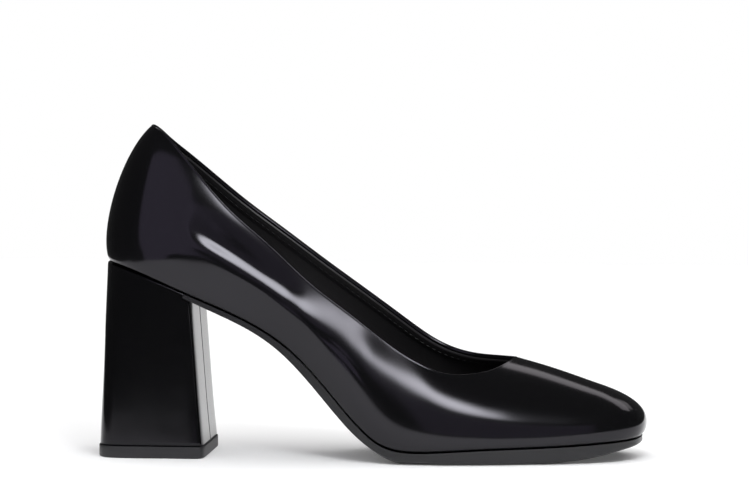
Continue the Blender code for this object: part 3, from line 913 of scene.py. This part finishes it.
def stitch_row(rails, spacing):
    """Stitches on a closed rail: half-ellipsoids, long along the rail and lifted off it."""
    base, side, lift = rails[:, 0], rails[:, 1] - rails[:, 0], rails[:, 2] - rails[:, 0]
    closed = np.concatenate([base, base[:1]])
    run = np.concatenate([[0], np.cumsum(np.linalg.norm(np.diff(closed, axis=0), axis=1))])
    place = np.arange(0, run[-1] - spacing / 2, spacing)

    def at(where, values):
        wrapped = np.concatenate([values, values[:1]])
        return np.stack([np.interp(where, run, wrapped[:, k]) for k in range(3)], -1)

    def unit(values):
        return values / np.linalg.norm(values, axis=-1, keepdims=True)

    middle, up, across = at(place, base), unit(at(place, lift)), unit(at(place, side))
    ahead = np.cross(up, across)
    long = np.linspace(-np.pi / 2, np.pi / 2, 7)
    round_ = np.linspace(0, 2 * np.pi, 7)[:-1]
    shape = np.stack(
        [
            0.36 * spacing * np.sin(long)[:, None] * np.ones(6),
            0.26 * np.cos(long)[:, None] * np.cos(round_),
            0.22 * np.cos(long)[:, None] * np.sin(round_) + 0.06,
        ],
        -1,
    )
    frames = np.stack([ahead, across, up], 1)
    points = middle[:, None, None] + np.einsum("abk,nkc->nabc", shape, frames)
    faces = quads((6, 7), True)
    return [(stitch.transpose(1, 0, 2), faces) for stitch in points]


class HIGHHEEL_OT_footbed(bpy.types.Operator):
    """Makes the footbed that closes the upper from below"""

    bl_idname = "high_heel.footbed"
    bl_label = "Footbed"

    def execute(self, context):
        settings = context.scene.high_heel
        turn, _, _, partner = columns(0.0)
        shares = np.concatenate([np.linspace(0, 1, 8), np.linspace(1, 0, 14)])
        lifts = np.concatenate([np.full(8, INSOLE_UNDER), np.full(14, INSOLE_TOP)])

        def heights(x):
            return feather_height(x) + lifts * steepness(x)

        bed = join_middle(layer(turn, 1.0, shares, heights), partner)
        leather = dull_leather("black_footbed_leather", settings.lining_hex, 0.42, 0.8)
        footbed = build("footbed", [(bed, quads(bed.shape, True))], leather)
        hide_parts("insole")
        return {"FINISHED"}


class HIGHHEEL_OT_outsole(bpy.types.Operator):
    """Makes the outsole, with its rounded rim and its tongue under the heel's front edge"""

    bl_idname = "high_heel.outsole"
    bl_label = "Outsole"

    def execute(self, context):
        settings = context.scene.high_heel
        turn, _, _, partner = columns(0.0)
        upside = np.linspace(0, 1, 5)
        rim_out = np.array([1.0, 1.0, 0.998, 0.992, 0.985, 0.96, 0.93, 0.8, 0.55, 0.25, 0.0])
        rim_up = np.array([1.25, 1.0, 0.82, 0.66, 0.55, 0.28, 0.12, 0.02, 0.0, 0.0, 0.0])
        shares = np.concatenate([upside, rim_out])
        raised = np.concatenate([0 * upside, rim_up])
        below = np.arange(len(shares)) >= len(upside)

        def heights(x):
            top = feather_height(x) - GAP * steepness(x)
            under = sole_bottom(x) + raised * along(SOLE, "rim", x)
            return np.where(below, np.minimum(under, top - 0.1), top)

        points = join_middle(layer(turn, SOLE_INSET, shares, heights), partner)
        rubber = moulded_rubber("moulded_sole_rubber", settings.rubber_hex, 0.36)
        outsole = build("outsole_rubber", [(points, quads(points.shape, True))], rubber)
        cut_tongue(outsole.data)
        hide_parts("outsole")
        return {"FINISHED"}


def tongue_frame():
    """The lower back corner of the sole's tongue, and the sole's slope there."""
    x = BREAST_TOP - TONGUE
    low = sole_bottom(np.array([x, BREAST_TOP]))
    return np.array([x, 0.0, low[0]]), np.arctan2(low[1] - low[0], TONGUE)


def cut_tongue(data):
    """Cuts the sole off square behind its tongue and closes the cut."""
    corner, tilt = tongue_frame()
    mesh = bmesh.new()
    mesh.from_mesh(data)
    parts = mesh.verts[:] + mesh.edges[:] + mesh.faces[:]
    cut = bmesh.ops.bisect_plane(
        mesh,
        geom=parts,
        plane_co=(corner - ORIGIN) * MM,
        plane_no=(np.cos(tilt), 0.0, np.sin(tilt)),
        clear_inner=True,
    )
    rim = [edge for edge in cut["geom_cut"] if isinstance(edge, bmesh.types.BMEdge)]
    bmesh.ops.contextual_create(mesh, geom=rim)
    bmesh.ops.recalc_face_normals(mesh, faces=mesh.faces)
    mesh.to_mesh(data)
    mesh.free()
    data.set_sharp_from_angle(angle=np.radians(35))


class HIGHHEEL_OT_heel(bpy.types.Operator):
    """Makes the covered block heel, with the seam down the middle of its breast"""

    bl_idname = "high_heel.heel"
    bl_label = "Heel"

    def execute(self, context):
        settings = context.scene.high_heel
        angle = np.concatenate([np.linspace(0, 0.06, 9)[:-1], np.linspace(0.06, np.pi, 120)])
        angle = np.concatenate([angle, 2 * np.pi - angle[-2:0:-1]])[:, None]
        edge = np.linspace(0, np.pi / 2, 6)
        round_in = 0.4 * (1 - np.sin(edge[:-1]))
        round_depth = 0.009 * (1 - np.cos(edge[:-1]))
        depth = np.concatenate([round_depth, np.linspace(0.009, 0.992, 60), 1 - round_depth[::-1] * 0.8])
        proud = np.concatenate([-round_in, np.zeros(60), -round_in[::-1] * 1.2])
        x, y = heel_point(angle, depth, proud)
        seat_x = heel_point(angle, 0.0, 0.0)[0]
        seat = feather_height(seat_x) - GAP * steepness(seat_x)
        z = seat + (LIFT + GAP - seat) * depth
        front = np.cos(angle) > 0
        x = x - np.where(front, 0.45 * np.exp(-((y / 0.45) ** 2)), 0)
        body = np.stack([x, y, z + 0 * x], -1)
        middle = body.mean(0)
        top = middle[0] + (body[:, :1] - middle[0]) * np.linspace(0, 1, 5)[None, :-1, None]
        foot = middle[-1] + (body[:, -1:] - middle[-1]) * np.linspace(1, 0, 5)[None, 1:, None]
        top[..., 2] = feather_height(top[..., 0]) - GAP * steepness(top[..., 0])
        grid = np.concatenate([top, body, foot], 1)
        grid[:, 0] = grid[:1, 0]
        grid[:, -1] = grid[:1, -1]
        leather = polished_leather("polished_heel_cover", settings, settings.heel_gloss, 1.35)
        heel = build("heel_cover", [(grid, quads(grid.shape, True)[:, ::-1])], leather)
        cut_rebate(heel)
        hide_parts("heel")
        return {"FINISHED"}


def cut_rebate(heel):
    """Makes room in the heel's top front edge for the sole's tongue, with a box that is taken away."""
    corner, tilt = tongue_frame()
    length = 4 * TONGUE
    middle = (length / 2 - GAP) * MM
    mesh = bmesh.new()
    bmesh.ops.create_cube(mesh, size=MM)
    bmesh.ops.scale(mesh, vec=(length, 3 * HEEL[0].half, length), verts=mesh.verts)
    bmesh.ops.translate(mesh, vec=(middle, 0, middle), verts=mesh.verts)
    data = bpy.data.meshes.new("tongue_box")
    mesh.to_mesh(data)
    mesh.free()
    box = bpy.data.objects.new("tongue_box", data)
    box.location = (corner - ORIGIN) * MM
    box.rotation_euler = (0, -tilt, 0)
    bpy.context.scene.collection.objects.link(box)
    cut = heel.modifiers.new("rebate", "BOOLEAN")
    cut.object = box
    graph = bpy.context.evaluated_depsgraph_get()
    finished = bpy.data.meshes.new_from_object(heel.evaluated_get(graph))
    heel.modifiers.clear()
    heel.data = finished
    finished.set_sharp_from_angle(angle=np.radians(35))
    bpy.data.objects.remove(box)


class HIGHHEEL_OT_top_lift(bpy.types.Operator):
    """Makes the rubber wear piece under the heel"""

    bl_idname = "high_heel.top_lift"
    bl_label = "Top lift"

    def execute(self, context):
        settings = context.scene.high_heel
        angle = np.linspace(0, 2 * np.pi, 241)[:-1, None]
        profile = np.array(
            [
                (5.0, 0.0),
                (4.95, 0.2),
                (4.8, 0.34),
                (4.6, 0.4),
                (0.6, 0.4),
                (0.35, 0.33),
                (0.12, 0.12),
                (0.0, -0.2),
            ]
        )
        x, y = heel_point(angle, 1.0, profile[:, 1])
        rim = np.stack([x, y, profile[:, 0] + 0 * x], -1)
        middle = rim.mean(0)
        top = middle[0] + (rim[:, :1] - middle[0]) * np.linspace(0, 1, 4)[None, :-1, None]
        foot = middle[-1] + (rim[:, -1:] - middle[-1]) * np.linspace(1, 0, 4)[None, 1:, None]
        grid = np.concatenate([top, rim, foot], 1)
        grid[:, 0] = grid[:1, 0]
        grid[:, -1] = grid[:1, -1]
        rubber = moulded_rubber("top_lift_rubber", settings.lift_hex, 0.5)
        lift = build("top_lift_rubber", [(grid, quads(grid.shape, True)[:, ::-1])], rubber)
        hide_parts("top_lift")
        return {"FINISHED"}


def softbox(row):
    """A soft rectangular light; its power follows from how bright its face looks. A fading face goes
    down to dark above and below as a parabola, and more abruptly at its two sides. One that is flagged
    off lights a single piece."""
    light = bpy.data.lights.new(row.name, "AREA")
    light.shape = "RECTANGLE"
    light.size, light.size_y = row.width, row.height
    light.energy = row.brightness * row.width * row.height * LAMP_FACTOR
    light.color = linear(row.code)[:3]
    lamp = bpy.data.objects.new(row.name, light)
    lamp.location = row.place
    lamp.rotation_euler = (Vector(row.aim) - Vector(row.place)).to_track_quat("-Z", "Y").to_euler()
    lamp.visible_camera = False
    lamp.visible_glossy = row.reflected
    bpy.context.scene.collection.objects.link(lamp)
    if row.only:
        lit = bpy.data.collections.new(row.name + "_lights")
        lit.objects.link(bpy.data.objects[row.only])
        lamp.light_linking.receiver_collection = lit
    if row.fades:
        light.use_nodes = True
        tree = light.node_tree
        place = add(tree, "ShaderNodeNewGeometry").outputs["Parametric"]
        other = add(tree, "ShaderNodeVectorMath", {0: (1, 1, 1), 1: place}, operation="SUBTRACT")
        both = add(tree, "ShaderNodeVectorMath", {0: place, 1: other.outputs[0]}, operation="MULTIPLY")
        bent = add(tree, "ShaderNodeSeparateXYZ", {0: both.outputs[0]})
        across = add(tree, "ShaderNodeMapRange", {"Value": bent.outputs["X"], "From Max": 0.15})
        upright = add(tree, "ShaderNodeMapRange", {"Value": bent.outputs["Y"], "From Max": 0.25})
        factors = {0: across.outputs["Result"], 1: upright.outputs["Result"]}
        face = add(tree, "ShaderNodeMath", factors, operation="MULTIPLY")
        tree.links.new(face.outputs[0], tree.nodes["Emission"].inputs["Strength"])


class HIGHHEEL_OT_stage(bpy.types.Operator):
    """Makes the floor, the lights and the camera"""

    bl_idname = "high_heel.stage"
    bl_label = "Stage"

    def execute(self, context):
        scene = context.scene
        studio = scene.high_heel_studio
        data = bpy.data.meshes.new("floor")
        (left, front), (right, back) = FLOOR
        corners = [(left, front, 0), (right, front, 0), (right, back, 0), (left, back, 0)]
        data.from_pydata(corners, [], [(0, 1, 2, 3)])
        material, tree, shader, place = surface_material("white_paper_floor")
        shader.inputs["Base Color"].default_value = linear(studio.floor_hex)
        shader.inputs["Roughness"].default_value = 0.8
        shader.inputs["Specular IOR Level"].default_value = 0.0
        shader.inputs["Emission Color"].default_value = linear(studio.floor_hex)
        shader.inputs["Emission Strength"].default_value = 0.1
        data.materials.append(material)
        floor = bpy.data.objects.new("floor", data)
        scene.collection.objects.link(floor)
        for row in SOFTBOXES:
            softbox(row)
        make_world(scene)
        scene.view_settings.view_transform = "Standard"
        make_camera(scene, studio)
        return {"FINISHED"}


def make_world(scene):
    """A white room to look at that is dark in reflections, as a studio is behind its lights."""
    world = bpy.data.worlds.new("studio")
    scene.world = world
    world.use_nodes = True
    tree = world.node_tree
    tree.nodes.clear()
    seen = add(tree, "ShaderNodeLightPath").outputs["Is Camera Ray"]
    strength = add(tree, "ShaderNodeMapRange", {"Value": seen, "To Min": ROOM_DARK, "To Max": 1.0})
    back = add(tree, "ShaderNodeBackground", {"Strength": strength.outputs["Result"]})
    output = add(tree, "ShaderNodeOutputWorld")
    back.inputs["Color"].default_value = linear("#FFFFFF")
    tree.links.new(back.outputs["Background"], output.inputs["Surface"])


def make_camera(scene, studio):
    """The photograph's view: the shoe's outer side, a little from the front and from above."""
    target = np.array([0.0, 0.0, 86.3]) - ORIGIN
    flat = np.cos(studio.elevation)
    aside, away = np.sin(studio.azimuth) * flat, -np.cos(studio.azimuth) * flat
    way = np.array([aside, away, np.sin(studio.elevation)])
    data = bpy.data.cameras.new("photo_camera")
    data.sensor_width = 36.0
    data.lens = 36.0 * studio.distance / (0.42 * MM * PHOTO[0])
    data.clip_end = 100
    camera = bpy.data.objects.new("photo_camera", data)
    camera.location = Vector(target * MM) + studio.distance * Vector(way)
    camera.rotation_euler = (-Vector(way)).to_track_quat("-Z", "Y").to_euler()
    scene.collection.objects.link(camera)
    scene.camera = camera


class HIGHHEEL_PT_panel(bpy.types.Panel):
    """Lists the shoe's pieces and its studio in the sidebar"""

    bl_label = "High heel"
    bl_idname = "HIGHHEEL_PT_panel"
    bl_space_type = "VIEW_3D"
    bl_region_type = "UI"
    bl_category = "High heel"

    def draw(self, context):
        for group in (context.scene.high_heel, context.scene.high_heel_studio):
            for name in group.__annotations__:
                self.layout.prop(group, name)
        for operator in OPERATORS:
            self.layout.operator(operator.bl_idname)


OPERATORS = (
    HIGHHEEL_OT_upper,
    HIGHHEEL_OT_lining,
    HIGHHEEL_OT_facing,
    HIGHHEEL_OT_footbed,
    HIGHHEEL_OT_outsole,
    HIGHHEEL_OT_heel,
    HIGHHEEL_OT_top_lift,
    HIGHHEEL_OT_stage,
)
CLASSES = (HighHeelSettings, StudioSettings, *OPERATORS, HIGHHEEL_PT_panel)


def register():
    for cls in CLASSES:
        bpy.utils.register_class(cls)
    bpy.types.Scene.high_heel = bpy.props.PointerProperty(type=HighHeelSettings)
    bpy.types.Scene.high_heel_studio = bpy.props.PointerProperty(type=StudioSettings)


def unregister():
    del bpy.types.Scene.high_heel_studio
    del bpy.types.Scene.high_heel
    for cls in reversed(CLASSES):
        bpy.utils.unregister_class(cls)


def main():
    register()
    bpy.ops.high_heel.upper()
    bpy.ops.high_heel.lining()
    bpy.ops.high_heel.facing()
    bpy.ops.high_heel.footbed()
    bpy.ops.high_heel.outsole()
    bpy.ops.high_heel.heel()
    bpy.ops.high_heel.top_lift()
    bpy.ops.high_heel.stage()


if __name__ == "__main__":
    main()
